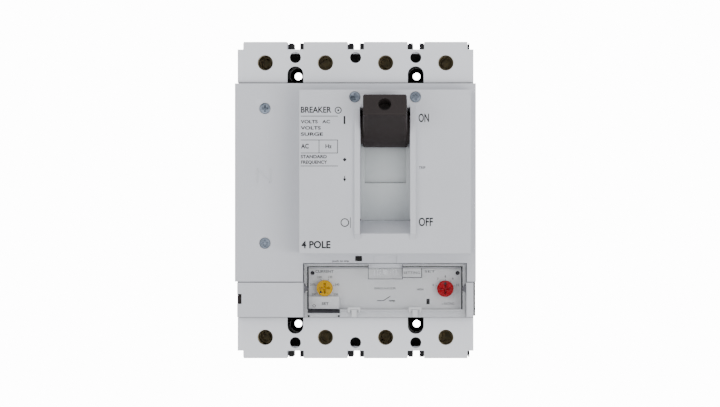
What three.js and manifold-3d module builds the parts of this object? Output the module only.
// Four-pole moulded case circuit breaker.
// Frame: X across the poles (right is +X), Z up, and Y into the wall. The back mounting face is Y = 0,
// and the front of the breaker faces -Y. The origin is the centre of the back mounting face.
import * as THREE from 'three';
import { mergeVertices } from 'three/addons/utils/BufferGeometryUtils.js';
import Module from 'manifold-3d';

const wasm = await Module();
wasm.setup();

// ---- Driving dimensions, in millimetres ----
const POLE_PITCH = 35;
const POLES = [-1.5, -0.5, 0.5, 1.5].map((step) => step * POLE_PITCH);
const BETWEEN_POLES = [-POLE_PITCH, 0, POLE_PITCH];
const GAP = 0.3;

const SEAM_GAP = 0.2;

const HALF_WIDTH = 70;
const HALF_HEIGHT = 92;
const COVER_WALL = 2.6;
const BASE_FRONT = -58;
const COVER_BACK = BASE_FRONT - GAP;
const SHOULDER_FRONT = -103;
const PANEL_FRONT = -126;
const TERMINAL_FRONT = -95;

const SEAM_Z = 68;
const TERMINAL_HALF_WIDTH = 68.6;
const TERMINAL_SHOULDER_Z = 87.6;
const TAB_HALF_WIDTH = 12.6;
const TERMINAL_WALL = 2.4;
const TERMINAL_HOLE_DEPTH = 5;
const BASE_TAB = { inset: 0.4, outer: 66.3, end: 91.9, notchHalf: 2, notchFloor: 86.5 };
const ACCESS_HOLE = { z: 79.8, radius: 4.5 };
const SMALL_HOLE = { z: 82.9, radius: 3.25 };
const WELL = { x: 35, z: 73.2, inner: 4.6, outer: 6.4, room: 7, hole: 2.2 };
const WELL_DEPTH = { back: -3, floor: -4, front: -91.7 };

const CAVITY = { half: 16, side: 66.8, end: 58.5, floor: -6 };
const LUG_BAY = { half: 13, from: 60.5, slit: 0.4 };

const PANEL = { left: -32.1, right: 67.1, bottom: -30.8, top: 63.8 };
const SLOT = { x: 17.5, half: 14.6, bottom: -19.4, top: 53.5, ribWidth: 3.1, ribFront: -128.4 };
const SLOT_FLOOR = { mouth: -131, front: -102.5, back: -90, bottom: -11.5, top: 49, frameBack: -98 };
const RIB = { bottom: -22.7, top: 55.6, slope: 3.2 };
const SHOULDER_SCREWS = [[-52.5, 53.2], [-52.5, -25]];
const PANEL_SCREWS = [[0, 59.6], [35, 59.6]];
const SCREW = { head: 3.1, seat: 3, shank: 1.85, bore: 2.15, end: -44, arm: 1.9, armHalf: 0.5, recess: 1.7 };
const BOSS = { radius: 4, shoulderBack: -38, panelBack: -5, side: -69, end: -36 };
const COVER_BOSS = { shoulder: 4.4, panel: 2.9, seat: 3.68, seatBack: -118 };
const TAB_RECESS = { left: 10.3, right: 24.3, bottom: -37.5, top: -32.2, depth: 1 };

// The toggle turns about +X through this point. At rest it is up, in the ON position.
const PIVOT = { x: 17.5, y: -62, z: 17 };
const ON_ANGLE = THREE.MathUtils.degToRad(24.7);
const SHUTTER = {
  inner: 49, outer: 50.5, half: 14.2, windowHalf: 11.9, from: -39.4, to: 63.8, open: [-8.2, 32.7],
};
const SHIELD = { inner: 46.6, outer: 48, half: 13.6, angle: 33 };
const HANDLE = { tip: 92.3, low: -7, high: 6.2, half: 13, tipHalf: 12.6, foot: 45, hole: 3.7, holeDepth: 7 };
const NECK = { half: 11.3, thickness: 6 };
const TONGUE = { half: 6, thickness: 1.3, clearance: 0.4, end: 76 };
const CHEEK = { u: 59.5, radius: 9.3, half: 14.2 };

const SHOULDER_BOTTOM = -47.4;
const TRIP = { left: -30.1, right: 64.4, top: -36.9, bottom: -68, bandTop: -47.9, front: -101 };
const TRIP_BAND = { left: -68.7, right: 68.6 };
const TRIP_NOTCH = { end: -66.1, bottom: -60.4, top: -54.5, depth: 5 };
const POCKET = { left: -27.5, right: 61.7, bottom: -63.7, top: -39.4, floor: -93 };
const PLATE = { back: -93.3, front: -95 };
const WINDOW = { left: -29.9, right: 64.2, bottom: -68.2, top: -37.2, back: -101.3, front: -103.4, lap: 0.8 };
const WINDOW_LIP = { back: -99.9, inset: 0.6, drop: 0.5, wall: 1.3 };
const LATCH = { left: 7.7, right: 27.2, bottom: -45.7 };
const LATCH_BAR = { left: 9, right: 26, bottom: -43.2, top: -41.6 };
const THERMAL = { x: -17.9, z: -51.2, radius: 4.7 };
const MAGNETIC = { x: 52.2, z: -51.5, radius: 4.8 };
const DIAL = { back: -95.3, front: -99.6, stem: 2.2, stemBack: -89, armHalf: 0.55, arm: 3, recess: 1.6 };
const BUTTON = { x: 1.9, z: -34, halfX: 1.65, halfZ: 1.2, front: -103.8, back: -54.3 };

const SHAFT = { y: -45, z: -4, radius: 6.4, half: 61, room: 0.6 };
const ARM = { half: 4, hub: 9.5, contactHalf: 3.5 };
const TRIP_BAR = { y: -50, z: -46.6, radius: 3.2, half: 61 };
const TRIP_ROOM = { back: -46.2, bottom: -50.6, top: -32.4 };
const CROSS_SLOT_HALF = 62;
const SIDE_PLATE = { inner: 10.2, outer: 11.8, pin: 2.8 };
const YOKE = { half: 9.5, web: 1.6, top: -46, thickness: 5, hub: 5, pinEnd: 12.4 };
const BAR = { back: -22, front: -26, half: 10, end: 86, hole: 4.3 };
const PAD = { front: -27.2, from: 61.5 };
const LINK = { half: 5, seatHalf: 4 };
const CLAMP = { shank: 3.9, collar: 6.3, collarBack: -29.8, collarFront: -33.8, front: -82 };
const SLEEVE = { radius: 5.2, bore: 4.1 };
const HEX_SOCKET = { radius: 3, mouth: -64, floor: -60 };

// ---- Colours ----
const LIGHT_GREY = 0xc9cacd;
const BLACK = 0x17181a;
const COPPER = 0xb8693e;
const STEEL = 0x9a9ea3;

// ---- Shape helpers ----
function block(x0, x1, y0, y1, z0, z1) {
  const box = new THREE.BoxGeometry(Math.abs(x1 - x0), Math.abs(y1 - y0), Math.abs(z1 - z0));
  box.translate((x0 + x1) / 2, (y0 + y1) / 2, (z0 + z1) / 2);
  return box;
}

function shapeFrom(points) {
  return new THREE.Shape(points.map(([a, b]) => new THREE.Vector2(a, b)));
}

// An outline in X and Z, from yBack forward to yFront.
function plate(points, yBack, yFront) {
  const geometry = new THREE.ExtrudeGeometry(shapeFrom(points), { depth: yBack - yFront, bevelEnabled: false });
  geometry.rotateX(Math.PI / 2);
  geometry.translate(0, yBack, 0);
  return geometry;
}

// An outline in Y and Z, from x0 to x1.
function profile(points, x0, x1) {
  const geometry = new THREE.ExtrudeGeometry(shapeFrom(points), { depth: x1 - x0, bevelEnabled: false });
  const turn = new THREE.Matrix4().makeBasis(
    new THREE.Vector3(0, 1, 0), new THREE.Vector3(0, 0, 1), new THREE.Vector3(1, 0, 0));
  geometry.applyMatrix4(turn);
  geometry.translate(x0, 0, 0);
  return geometry;
}

function pinAlongY(x, z, radius, yBack, yFront, sides = 16) {
  const geometry = new THREE.CylinderGeometry(radius, radius, yBack - yFront, sides);
  geometry.translate(x, (yBack + yFront) / 2, z);
  return geometry;
}

function rodAlongX(y, z, radius, x0, x1, sides = 16) {
  const geometry = new THREE.CylinderGeometry(radius, radius, x1 - x0, sides);
  geometry.rotateZ(Math.PI / 2);
  geometry.translate((x0 + x1) / 2, y, z);
  return geometry;
}

// Points of an arc in (Y, Z) about the origin: the angle is measured upward from -Y.
function arcPoints(radius, fromDegrees, toDegrees, steps) {
  const points = [];
  for (let i = 0; i <= steps; i += 1) {
    const angle = THREE.MathUtils.degToRad(fromDegrees + (toDegrees - fromDegrees) * i / steps);
    points.push([-radius * Math.cos(angle), radius * Math.sin(angle)]);
  }
  return points;
}

function arcPlate(inner, outer, fromDegrees, toDegrees, half, steps) {
  const front = arcPoints(outer, fromDegrees, toDegrees, steps);
  const back = arcPoints(inner, toDegrees, fromDegrees, steps);
  return profile([...front, ...back], -half, half);
}

function mirrored(points) {
  return points.map(([a, b]) => [a, -b]).reverse();
}

// ---- Boolean helpers ----
function solid(geometry) {
  const bare = geometry.clone();
  bare.deleteAttribute('normal');
  bare.deleteAttribute('uv');
  const merged = mergeVertices(bare, 1e-4);
  return new wasm.Manifold(new wasm.Mesh({
    numProp: 3,
    vertProperties: new Float32Array(merged.attributes.position.array),
    triVerts: new Uint32Array(merged.index.array),
  }));
}

function joined(...geometries) {
  return geometries.map(solid).reduce((whole, piece) => whole.add(piece));
}

function without(whole, ...geometries) {
  return geometries.map(solid).reduce((rest, piece) => rest.subtract(piece), whole);
}

function geometryOf(manifold) {
  const mesh = manifold.getMesh();
  const positions = [];
  for (let i = 0; i < mesh.vertProperties.length; i += mesh.numProp) {
    positions.push(mesh.vertProperties[i], mesh.vertProperties[i + 1], mesh.vertProperties[i + 2]);
  }
  const geometry = new THREE.BufferGeometry();
  geometry.setAttribute('position', new THREE.Float32BufferAttribute(positions, 3));
  geometry.setIndex(Array.from(mesh.triVerts));
  geometry.computeVertexNormals();
  return geometry;
}

function piece(name, shape, color, roughness = 0.5, metalness = 0) {
  const geometry = shape.isBufferGeometry ? shape : geometryOf(shape);
  const mesh = new THREE.Mesh(geometry, new THREE.MeshStandardMaterial({ color, roughness, metalness }));
  mesh.name = name;
  return mesh;
}

// ---- Base ----
function baseOutline() {
  const side = HALF_WIDTH - GAP;
  const seam = SEAM_Z - SEAM_GAP;
  const waist = TERMINAL_HALF_WIDTH - BASE_TAB.inset;
  const shoulder = TERMINAL_SHOULDER_Z - GAP;
  const upper = [[side, 0], [side, seam], [waist, seam], [waist, shoulder], [BASE_TAB.outer, shoulder],
    [BASE_TAB.outer, BASE_TAB.end]];
  for (const x of [...BETWEEN_POLES].reverse()) {
    const right = x + BASE_TAB.notchHalf;
    const left = x - BASE_TAB.notchHalf;
    upper.push([right, BASE_TAB.end], [right, BASE_TAB.notchFloor], [left, BASE_TAB.notchFloor],
      [left, BASE_TAB.end]);
  }
  upper.push([-BASE_TAB.outer, BASE_TAB.end], [-BASE_TAB.outer, shoulder], [-waist, shoulder], [-waist, seam],
    [-side, seam], [-side, 0]);
  const lower = mirrored(upper).slice(1, -1);
  return [...upper, ...lower];
}

// The sleeve round one fixing screw. It is open toward the seam in front of the base.
function mountingWell(x, side) {
  const z = side * WELL.z;
  const behindSeam = side * (SEAM_Z + 2 * GAP);
  const insideBase = side * (SEAM_Z - WELL.outer);
  const far = side * (WELL.z + WELL.outer + 1);
  const left = x - WELL.outer - 1;
  const right = x + WELL.outer + 1;
  const tube = solid(pinAlongY(x, z, WELL.outer, WELL_DEPTH.back, WELL_DEPTH.front, 20));
  const keep = joined(block(left, right, WELL_DEPTH.back, WELL_DEPTH.front, behindSeam, far),
    block(left, right, WELL_DEPTH.back, BASE_FRONT, insideBase, far));
  return tube.intersect(keep);
}

function withMountingWells(base) {
  let drilled = base;
  for (const x of [-WELL.x, WELL.x]) {
    for (const side of [-1, 1]) {
      const z = side * WELL.z;
      drilled = without(drilled.add(mountingWell(x, side)),
        pinAlongY(x, z, WELL.inner, WELL_DEPTH.floor, WELL_DEPTH.front - 1, 20),
        pinAlongY(x, z, WELL.hole, 1, WELL_DEPTH.floor - 1, 12),
        block(x - WELL.inner, x + WELL.inner, BASE_FRONT, WELL_DEPTH.front - 1, side * (SEAM_Z - 1), z));
    }
  }
  return drilled;
}

function poleCavities(pole) {
  const front = BASE_FRONT - 1;
  const left = Math.max(pole - CAVITY.half, -CAVITY.side);
  const right = Math.min(pole + CAVITY.half, CAVITY.side);
  const cuts = [block(left, right, CAVITY.floor, front, -CAVITY.end, CAVITY.end)];
  for (const side of [-1, 1]) {
    const slit = BAR.half + LUG_BAY.slit;
    cuts.push(
      block(pole - LUG_BAY.half, pole + LUG_BAY.half, BAR.back + GAP, front, side * LUG_BAY.from,
        side * (HALF_HEIGHT + 3)),
      block(pole - slit, pole + slit, BAR.back + GAP, BAR.front - LUG_BAY.slit, side * (CAVITY.end - 1),
        side * (LUG_BAY.from + 1)),
    );
  }
  return cuts;
}

function withScrewBosses(base) {
  let bossed = base;
  for (const [x, z] of SHOULDER_SCREWS) {
    bossed = bossed.add(joined(block(BOSS.side, BOSS.end, BOSS.shoulderBack, BASE_FRONT, z - 2, z + 2),
      pinAlongY(x, z, BOSS.radius, BOSS.shoulderBack, BASE_FRONT)));
  }
  for (const [x, z] of PANEL_SCREWS) {
    bossed = bossed.add(solid(pinAlongY(x, z, BOSS.radius, BOSS.panelBack, BASE_FRONT)));
  }
  const screws = [...SHOULDER_SCREWS, ...PANEL_SCREWS];
  const bores = screws.map(([x, z]) => pinAlongY(x, z, SCREW.bore, SCREW.end + 1, BASE_FRONT - 1));
  return without(bossed, ...bores);
}

function baseHousing() {
  const front = BASE_FRONT - 1;
  const shell = without(solid(plate(baseOutline(), 0, BASE_FRONT)), ...POLES.flatMap(poleCavities));
  const reach = SHAFT.radius + SHAFT.room;
  const half = CROSS_SLOT_HALF;
  const shaftSlot = block(-half, half, SHAFT.y, front, SHAFT.z - reach, SHAFT.z + reach);
  const tripSlot = block(-half, half, TRIP_ROOM.back, front, TRIP_ROOM.bottom, TRIP_ROOM.top);
  return without(withMountingWells(withScrewBosses(shell)), shaftSlot,
    rodAlongX(SHAFT.y, SHAFT.z, reach, -half, half), tripSlot);
}

// ---- Covers ----
function terminalOutline(inset, side) {
  const half = TERMINAL_HALF_WIDTH - inset;
  const shoulder = TERMINAL_SHOULDER_Z - inset;
  const tab = HALF_HEIGHT - inset;
  const seam = SEAM_Z + GAP + inset;
  const points = [[-half, seam], [half, seam], [half, shoulder]];
  for (const pole of [...POLES].reverse()) {
    const reach = TAB_HALF_WIDTH - inset;
    points.push([pole + reach, shoulder], [pole + reach, tab], [pole - reach, tab], [pole - reach, shoulder]);
  }
  points.push([-half, shoulder]);
  return side > 0 ? points : mirrored(points);
}

function terminalCover(side) {
  const front = TERMINAL_FRONT - 1;
  const behind = COVER_BACK + 1;
  const inFront = TERMINAL_FRONT + TERMINAL_WALL;
  const holeEnd = TERMINAL_FRONT + TERMINAL_HOLE_DEPTH;
  const seam = side * (SEAM_Z - 1);
  const well = side * WELL.z;
  const cuts = [plate(terminalOutline(TERMINAL_WALL, side), behind, inFront)];
  for (const x of [-WELL.x, WELL.x]) {
    cuts.push(
      block(x - WELL.inner, x + WELL.inner, behind, front, seam, well),
      pinAlongY(x, well, WELL.inner, behind, front, 20),
      block(x - WELL.room, x + WELL.room, behind, inFront, seam, well),
    );
  }
  for (const pole of POLES) {
    cuts.push(pinAlongY(pole, side * ACCESS_HOLE.z, ACCESS_HOLE.radius, holeEnd, front, 20));
  }
  for (const x of BETWEEN_POLES) {
    cuts.push(pinAlongY(x, side * SMALL_HOLE.z, SMALL_HOLE.radius, holeEnd, front));
  }
  return without(solid(plate(terminalOutline(0, side), COVER_BACK, TERMINAL_FRONT)), ...cuts);
}

function slotProfile() {
  const { mouth, front, back, bottom, top } = SLOT_FLOOR;
  return [[mouth, SLOT.bottom - 1.8], [PANEL_FRONT, SLOT.bottom], [front, bottom], [back, bottom], [back, top],
    [front, top], [PANEL_FRONT, SLOT.top], [mouth, SLOT.top + 1]];
}

function slotTunnel() {
  const inner = SLOT.half - 0.5;
  const outer = SLOT.half + SLOT.ribWidth;
  const rib = [[PANEL_FRONT + 1, RIB.top], [PANEL_FRONT, RIB.top], [SLOT.ribFront, RIB.top - RIB.slope],
    [SLOT.ribFront, RIB.bottom + RIB.slope], [PANEL_FRONT, RIB.bottom], [PANEL_FRONT + 1, RIB.bottom]];
  const left = SLOT.x - outer;
  const right = SLOT.x + outer;
  const frame = block(left, right, SLOT_FLOOR.frameBack, PANEL_FRONT, RIB.bottom, RIB.top + 1);
  return joined(frame, profile(rib, left, SLOT.x - inner), profile(rib, SLOT.x + inner, right));
}

// The main cover reaches down each side of the trip unit.
function coverOutline(inset) {
  const half = HALF_WIDTH - inset;
  const left = TRIP.left - GAP - inset;
  const right = TRIP.right + GAP + inset;
  const low = SHOULDER_BOTTOM + inset;
  const step = TRIP.top + GAP + Math.min(inset, 1);
  const top = SEAM_Z - SEAM_GAP - inset;
  return [[-half, low], [left, low], [left, step], [right, step], [right, low], [half, low], [half, top],
    [-half, top]];
}

function screwHole(x, z, front) {
  return [pinAlongY(x, z, SCREW.head + SEAM_GAP, front + SCREW.seat + 0.4, front - 1, 20),
    pinAlongY(x, z, SCREW.bore, COVER_BACK + 1, front)];
}

function coverBosses() {
  const shoulder = SHOULDER_SCREWS.map(([x, z]) => pinAlongY(x, z, COVER_BOSS.shoulder, COVER_BACK,
    SHOULDER_FRONT + 1));
  const panel = PANEL_SCREWS.flatMap(([x, z]) => [
    pinAlongY(x, z, COVER_BOSS.panel, COVER_BACK, PANEL_FRONT + 1),
    pinAlongY(x, z, COVER_BOSS.seat, COVER_BOSS.seatBack, PANEL_FRONT),
  ]);
  return joined(...shoulder, ...panel);
}

function mainCover() {
  const wall = COVER_WALL;
  const shell = joined(plate(coverOutline(0), COVER_BACK, SHOULDER_FRONT),
    block(PANEL.left, PANEL.right, SHOULDER_FRONT + 1, PANEL_FRONT, PANEL.bottom, PANEL.top));
  const hollow = without(shell, plate(coverOutline(wall), COVER_BACK + 1, SHOULDER_FRONT + wall),
    block(PANEL.left + wall, PANEL.right - wall, SHOULDER_FRONT + 5, PANEL_FRONT + wall, PANEL.bottom + wall,
      PANEL.top - wall));
  const slot = profile([...slotProfile()].reverse(), SLOT.x - SLOT.half, SLOT.x + SLOT.half);
  const shutterRoom = rodAlongX(PIVOT.y, PIVOT.z, SHUTTER.outer + 0.5, SLOT.x - SLOT.half - GAP,
    SLOT.x + SLOT.half + GAP, 60);
  const screwHoles = [...SHOULDER_SCREWS.map(([x, z]) => screwHole(x, z, SHOULDER_FRONT)),
    ...PANEL_SCREWS.map(([x, z]) => screwHole(x, z, PANEL_FRONT))].flat();
  const buttonHole = block(BUTTON.x - BUTTON.halfX - GAP, BUTTON.x + BUTTON.halfX + GAP, COVER_BACK + 1,
    SHOULDER_FRONT - 1, BUTTON.z - BUTTON.halfZ - GAP, BUTTON.z + BUTTON.halfZ + GAP);
  const tabRecess = block(TAB_RECESS.left, TAB_RECESS.right, SHOULDER_FRONT + TAB_RECESS.depth,
    SHOULDER_FRONT - 1, TAB_RECESS.bottom, TAB_RECESS.top);
  return without(hollow.add(slotTunnel()).add(coverBosses()), slot, shutterRoom, ...screwHoles, buttonHole,
    tabRecess);
}

function coverScrew(x, z, front) {
  const seat = front + SCREW.seat;
  const { arm, armHalf } = SCREW;
  const screw = joined(pinAlongY(x, z, SCREW.head, seat, front + SEAM_GAP),
    pinAlongY(x, z, SCREW.shank, SCREW.end, seat - 0.5));
  return without(screw, block(x - arm, x + arm, front + SCREW.recess, front - 1, z - armHalf, z + armHalf),
    block(x - armHalf, x + armHalf, front + SCREW.recess, front - 1, z - arm, z + arm));
}

// ---- Trip unit ----
function tripOutline(inset) {
  const low = TRIP.bottom + inset;
  const band = TRIP.bandTop - inset;
  const left = TRIP_BAND.left + inset;
  const right = TRIP_BAND.right - inset;
  const top = TRIP.top - inset;
  return [[left, low], [right, low], [right, band], [TRIP.right - inset, band], [TRIP.right - inset, top],
    [TRIP.left + inset, top], [TRIP.left + inset, band], [left, band]];
}

function tripUnitHousing() {
  const wall = 2.4;
  const front = SHOULDER_FRONT - 1;
  const stemHoles = [THERMAL, MAGNETIC].map((dial) => pinAlongY(dial.x, dial.z, DIAL.stem + GAP,
    POCKET.floor + 5, POCKET.floor - 1));
  return without(solid(plate(tripOutline(0), COVER_BACK, SHOULDER_FRONT)),
    plate(tripOutline(wall), COVER_BACK + 1, POCKET.floor + wall),
    block(TRIP.left - 0.01, TRIP.right + 0.01, TRIP.front, front, TRIP.bottom - 2, TRIP.top + 1),
    block(POCKET.left, POCKET.right, POCKET.floor, SHOULDER_FRONT, POCKET.bottom, POCKET.top),
    block(-HALF_WIDTH, TRIP_NOTCH.end, SHOULDER_FRONT + TRIP_NOTCH.depth, front, TRIP_NOTCH.bottom,
      TRIP_NOTCH.top),
    ...stemHoles);
}

function tripUnitFaceplate() {
  const face = solid(block(POCKET.left + GAP, POCKET.right - GAP, PLATE.back, PLATE.front, POCKET.bottom + GAP,
    POCKET.top - GAP));
  const holes = [THERMAL, MAGNETIC].map((dial) => pinAlongY(dial.x, dial.z, DIAL.stem + GAP, PLATE.back + 1,
    PLATE.front - 1));
  return without(face, ...holes);
}

function settingDial({ x, z, radius }) {
  const { arm, armHalf } = DIAL;
  const knob = joined(pinAlongY(x, z, radius, DIAL.back, DIAL.front, 24),
    pinAlongY(x, z, DIAL.stem, DIAL.stemBack, DIAL.back - 1));
  const slotFront = DIAL.front - 1;
  const slotBack = DIAL.front + DIAL.recess;
  return without(knob, block(x - arm, x + arm, slotBack, slotFront, z - armHalf, z + armHalf),
    block(x - armHalf, x + armHalf, slotBack, slotFront, z - arm, z + arm));
}

// A clear pane with a lip that drops behind the top edge of the pocket.
function tripUnitWindow() {
  const lipTop = POCKET.top - WINDOW_LIP.drop;
  const pane = joined(
    block(WINDOW.left, WINDOW.right, WINDOW.back - WINDOW.lap, WINDOW.front, WINDOW.bottom, WINDOW.top),
    block(POCKET.left + WINDOW_LIP.inset, POCKET.right - WINDOW_LIP.inset, WINDOW_LIP.back, WINDOW.back - 1,
      lipTop - WINDOW_LIP.wall, lipTop));
  const latchSeat = block(LATCH.left - GAP, LATCH.right + GAP, WINDOW_LIP.back + 1, WINDOW.front - 1,
    LATCH.bottom - GAP, WINDOW.top + 1);
  return without(pane, latchSeat);
}

function windowLatch() {
  return joined(
    block(LATCH.left, LATCH.right, WINDOW.back - WINDOW.lap, WINDOW.front, LATCH.bottom, WINDOW.top),
    block(LATCH_BAR.left, LATCH_BAR.right, WINDOW.front + 1, WINDOW.front - WINDOW.lap, LATCH_BAR.bottom,
      LATCH_BAR.top));
}

function pushToTripButton() {
  return block(BUTTON.x - BUTTON.halfX, BUTTON.x + BUTTON.halfX, BUTTON.back, BUTTON.front,
    BUTTON.z - BUTTON.halfZ, BUTTON.z + BUTTON.halfZ);
}

// ---- Toggle: drawn with its own length along -Y and its thickness along Z, then turned to ON ----
function toggleHandle() {
  const { tip, foot, half, tipHalf, low, high } = HANDLE;
  const plan = [[-tipHalf, -tip], [tipHalf, -tip], [half, -62], [half, -foot], [-half, -foot], [-half, -62]];
  const side = [[-foot, 9], [-54, 9], [-62, 8], [-74, high], [-tip, high], [-tip, low], [-74, -7.6], [-62, -9.2],
    [-foot, -9.2]];
  const planPrism = new THREE.ExtrudeGeometry(shapeFrom(plan), { depth: 30, bevelEnabled: false });
  planPrism.translate(0, 0, -15);
  const grip = solid(planPrism).intersect(solid(profile(side, -20, 20)));
  const cheeks = solid(rodAlongX(-CHEEK.u, 0, CHEEK.radius, -CHEEK.half, CHEEK.half, 28));
  const footRoom = rodAlongX(0, 0, SHUTTER.outer + 0.4, -20, 20, 48);
  const neck = solid(block(-NECK.half, NECK.half, -SHIELD.outer - GAP, -SHUTTER.outer - 2, -NECK.thickness,
    NECK.thickness));
  return without(without(grip.add(cheeks), footRoom).add(neck), tongueRoom(TONGUE.end + 0.5),
    pinAlongY(0, (low + high) / 2, HANDLE.hole, HANDLE.holeDepth - tip, -tip - 1, 20));
}

function tongueRoom(end) {
  const half = TONGUE.half + TONGUE.clearance;
  const thickness = TONGUE.thickness + TONGUE.clearance;
  return block(-half, half, -40, -end, -thickness, thickness);
}

function handleShield() {
  const shield = solid(arcPlate(SHIELD.inner, SHIELD.outer, -SHIELD.angle, SHIELD.angle, SHIELD.half, 14));
  return without(shield, tongueRoom(SHUTTER.outer + 10));
}

function handleYoke() {
  const { half, web, thickness } = YOKE;
  const top = block(-half, half, YOKE.top + 1.8, YOKE.top, -thickness, thickness);
  const tongue = block(-TONGUE.half, TONGUE.half, YOKE.top + 1, -TONGUE.end, -TONGUE.thickness,
    TONGUE.thickness);
  const legs = [-1, 1].flatMap((side) => [
    block(side * (half - web), side * half, 0, YOKE.top + 1, -4, 4),
    rodBetween(side * (half - web), side * half, YOKE.hub),
    rodBetween(side * (half - 1), side * YOKE.pinEnd, SIDE_PLATE.pin),
  ]);
  return joined(top, tongue, ...legs);
}

// A rod on the pivot's own axis, between two places across the breaker.
function rodBetween(a, b, radius) {
  return rodAlongX(0, 0, radius, Math.min(a, b), Math.max(a, b));
}

function toggleShutter() {
  const blade = solid(arcPlate(SHUTTER.inner, SHUTTER.outer, SHUTTER.from, SHUTTER.to, SHUTTER.half, 22));
  const [low, high] = SHUTTER.open;
  const opening = arcPlate(SHUTTER.inner - 3, SHUTTER.outer + 3, low, high, SHUTTER.windowHalf, 10);
  return without(blade, opening);
}

function springCoil(x) {
  const radius = 2.2;
  const from = -18;
  const length = 23;
  const steps = 5 * 8;
  const points = [];
  for (let i = 0; i <= steps; i += 1) {
    const angle = i / 8 * Math.PI * 2;
    const y = from - length * i / steps;
    points.push(new THREE.Vector3(x + radius * Math.cos(angle), y, radius * Math.sin(angle)));
  }
  const wire = new THREE.Shape();
  wire.absarc(0, 0, 0.45, 0, Math.PI * 2);
  return new THREE.ExtrudeGeometry(wire, {
    extrudePath: new THREE.CatmullRomCurve3(points), steps, curveSegments: 3, bevelEnabled: false,
  });
}

// ---- Poles ----
function terminalBar(pole, side, from) {
  return [block(pole - BAR.half, pole + BAR.half, BAR.back, BAR.front, side * from, side * BAR.end),
    block(pole - BAR.half, pole + BAR.half, BAR.back, PAD.front, side * PAD.from, side * BAR.end)];
}

function clampHole(pole, side) {
  return pinAlongY(pole, side * ACCESS_HOLE.z, BAR.hole, BAR.back + 1, PAD.front - 1);
}

// The line bar narrows behind the arc chute and ends in the fixed contact.
function lineTerminal(pole) {
  const bar = joined(...terminalBar(pole, 1, 40),
    block(pole - LINK.half, pole + LINK.half, BAR.back, BAR.front, 22, 41),
    block(pole - LINK.seatHalf, pole + LINK.seatHalf, BAR.front + 1, -28.5, 23, 32));
  return without(bar, clampHole(pole, 1));
}

// The load bar narrows past the bimetal and ends in the seat of the contact arm's link.
function loadTerminal(pole) {
  const bar = joined(...terminalBar(pole, -1, 50),
    block(pole - LINK.half, pole + LINK.half, BAR.back, BAR.front, -51, 0),
    block(pole - LINK.seatHalf, pole + LINK.seatHalf, BAR.front + 1, -35.1, -7, -1));
  return without(bar, clampHole(pole, -1));
}

function clampScrew(pole, side) {
  const z = side * ACCESS_HOLE.z;
  const screw = joined(pinAlongY(pole, z, CLAMP.shank, BAR.back, CLAMP.collarBack - 1, 12),
    pinAlongY(pole, z, CLAMP.collar, CLAMP.collarBack, CLAMP.collarFront),
    pinAlongY(pole, z, SLEEVE.radius, CLAMP.collarFront + 1, CLAMP.front));
  return without(screw, pinAlongY(pole, z, SLEEVE.bore, HEX_SOCKET.mouth, CLAMP.front - 1),
    pinAlongY(pole, z, HEX_SOCKET.radius, HEX_SOCKET.floor, HEX_SOCKET.mouth - 1, 6));
}

function contactArm(pole) {
  const left = pole - ARM.half;
  const right = pole + ARM.half;
  const arm = profile([[-48, -4], [-48, 3], [-37, 31], [-31.5, 31], [-31.5, 24], [-36.5, -4]], left, right);
  const contact = block(pole - ARM.contactHalf, pole + ARM.contactHalf, -28.8, -33, 24, 31);
  const hub = rodAlongX(SHAFT.y, SHAFT.z, ARM.hub, left, right);
  const shaftHole = rodAlongX(SHAFT.y, SHAFT.z, SHAFT.radius + GAP, left - 1, right + 1);
  return without(joined(arm, contact, hub), shaftHole);
}

function arcChute(pole) {
  const plates = 6;
  const pitch = 4.4;
  const back = -30;
  const low = 35.2;
  const web = 47.5;
  const top = 49;
  const points = [[back, top], [back, low]];
  for (let i = 0; i < plates; i += 1) {
    const near = back - i * pitch;
    const far = near - 1.3;
    points.push([far, low]);
    if (i < plates - 1) {
      points.push([far, web], [near - pitch, web], [near - pitch, low]);
    } else {
      points.push([far, top]);
    }
  }
  return profile(points, pole - 11, pole + 11);
}

function bimetal(pole) {
  return profile([[-26.3, -50.8], [-28, -50.8], [-28, -55], [-54, -55], [-54, -56], [-26.3, -56]].reverse(),
    pole - 3, pole + 3);
}

function tripBar() {
  const rod = rodAlongX(TRIP_BAR.y, TRIP_BAR.z, TRIP_BAR.radius, -TRIP_BAR.half, TRIP_BAR.half);
  const pushFinger = block(BUTTON.x - 1.5, BUTTON.x + 1.5, BUTTON.back + GAP, -51.2, TRIP_BAR.z - 1,
    BUTTON.z + 1);
  const fingers = POLES.map((pole) => block(pole - 2.5, pole + 2.5, -51.5, -49, -53.6, TRIP_BAR.z));
  return joined(rod, pushFinger, ...fingers);
}

// ---- Mechanism ----
function sidePlate(side) {
  const near = SLOT.x + side * SIDE_PLATE.inner;
  const far = SLOT.x + side * SIDE_PLATE.outer;
  const outline = [[-58, -16], [-70, 10], [-68, 26], [-56, 26], [-30, 12], [-30, -16]];
  const flat = solid(profile(outline, Math.min(near, far), Math.max(near, far)));
  return without(flat, rodAlongX(SHAFT.y, SHAFT.z, SHAFT.radius + GAP, SLOT.x - 20, SLOT.x + 20),
    rodAlongX(PIVOT.y, PIVOT.z, SIDE_PLATE.pin + GAP, SLOT.x - 20, SLOT.x + 20));
}

function cradle() {
  const outline = [[-63, -15], [-70, -18], [-78, -14], [-76, -6], [-66, -2], [-62, -8]];
  return profile(outline, SLOT.x - 7, SLOT.x + 7);
}

// ---- Assembly ----
const breaker = new THREE.Group();

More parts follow.
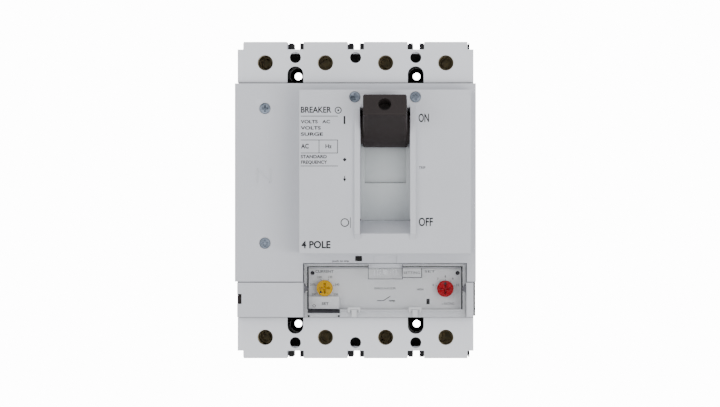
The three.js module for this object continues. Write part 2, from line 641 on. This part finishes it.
breaker.add(
  piece('base_housing', baseHousing(), BLACK, 0.45),
  piece('main_cover', mainCover(), LIGHT_GREY, 0.45),
  piece('upper_terminal_cover', terminalCover(1), LIGHT_GREY, 0.45),
  piece('lower_terminal_cover', terminalCover(-1), LIGHT_GREY, 0.45),
  piece('trip_unit_housing', tripUnitHousing(), LIGHT_GREY, 0.45),
  piece('trip_unit_faceplate', tripUnitFaceplate(), 0xd6d7d6, 0.5),
  piece('trip_unit_window', tripUnitWindow(), 0xe6eaec, 0.15),
  piece('window_latch', windowLatch(), 0xdfe3e6, 0.2),
  piece('thermal_setting_dial', settingDial(THERMAL), 0xd8a416, 0.45),
  piece('magnetic_setting_dial', settingDial(MAGNETIC), 0xb02230, 0.45),
  piece('push_to_trip_button', pushToTripButton(), BLACK, 0.5),
  piece('contact_shaft', rodAlongX(SHAFT.y, SHAFT.z, SHAFT.radius, -SHAFT.half, SHAFT.half), 0x5b3a2a, 0.5),
  piece('trip_bar', tripBar(), 0x3b3b3f, 0.5),
  piece('mechanism_side_plate_left', sidePlate(-1), STEEL, 0.35, 1),
  piece('mechanism_side_plate_right', sidePlate(1), STEEL, 0.35, 1),
  piece('cradle', cradle(), STEEL, 0.35, 1),
);

const screwPlaces = [...SHOULDER_SCREWS.map((at) => [...at, SHOULDER_FRONT]),
  ...PANEL_SCREWS.map((at) => [...at, PANEL_FRONT])];
screwPlaces.forEach(([x, z, front], index) => {
  breaker.add(piece(`cover_screw_${index + 1}`, coverScrew(x, z, front), 0x8a98ab, 0.3, 1));
});

POLES.forEach((pole, index) => {
  const number = index + 1;
  breaker.add(
    piece(`line_terminal_${number}`, lineTerminal(pole), COPPER, 0.35, 1),
    piece(`load_terminal_${number}`, loadTerminal(pole), COPPER, 0.35, 1),
    piece(`line_clamp_screw_${number}`, clampScrew(pole, 1), 0xb59a52, 0.35, 1),
    piece(`load_clamp_screw_${number}`, clampScrew(pole, -1), 0xb59a52, 0.35, 1),
    piece(`contact_arm_${number}`, contactArm(pole), COPPER, 0.35, 1),
    piece(`arc_chute_${number}`, arcChute(pole), STEEL, 0.4, 1),
    piece(`bimetal_${number}`, bimetal(pole), STEEL, 0.4, 1),
  );
});

const toggle = new THREE.Group();
toggle.position.set(PIVOT.x, PIVOT.y, PIVOT.z);
toggle.rotation.x = -ON_ANGLE;
toggle.add(
  piece('toggle_handle', toggleHandle(), 0x3c3936, 0.5),
  piece('handle_shield', handleShield(), LIGHT_GREY, 0.45),
  piece('handle_yoke', handleYoke(), STEEL, 0.35, 1),
  piece('mechanism_spring_left', springCoil(-4), STEEL, 0.3, 1),
  piece('mechanism_spring_right', springCoil(4), STEEL, 0.3, 1),
);

const shutter = new THREE.Group();
shutter.position.set(PIVOT.x, PIVOT.y, PIVOT.z);
shutter.add(piece('toggle_shutter', toggleShutter(), LIGHT_GREY, 0.45));

breaker.add(toggle, shutter);

export default breaker;
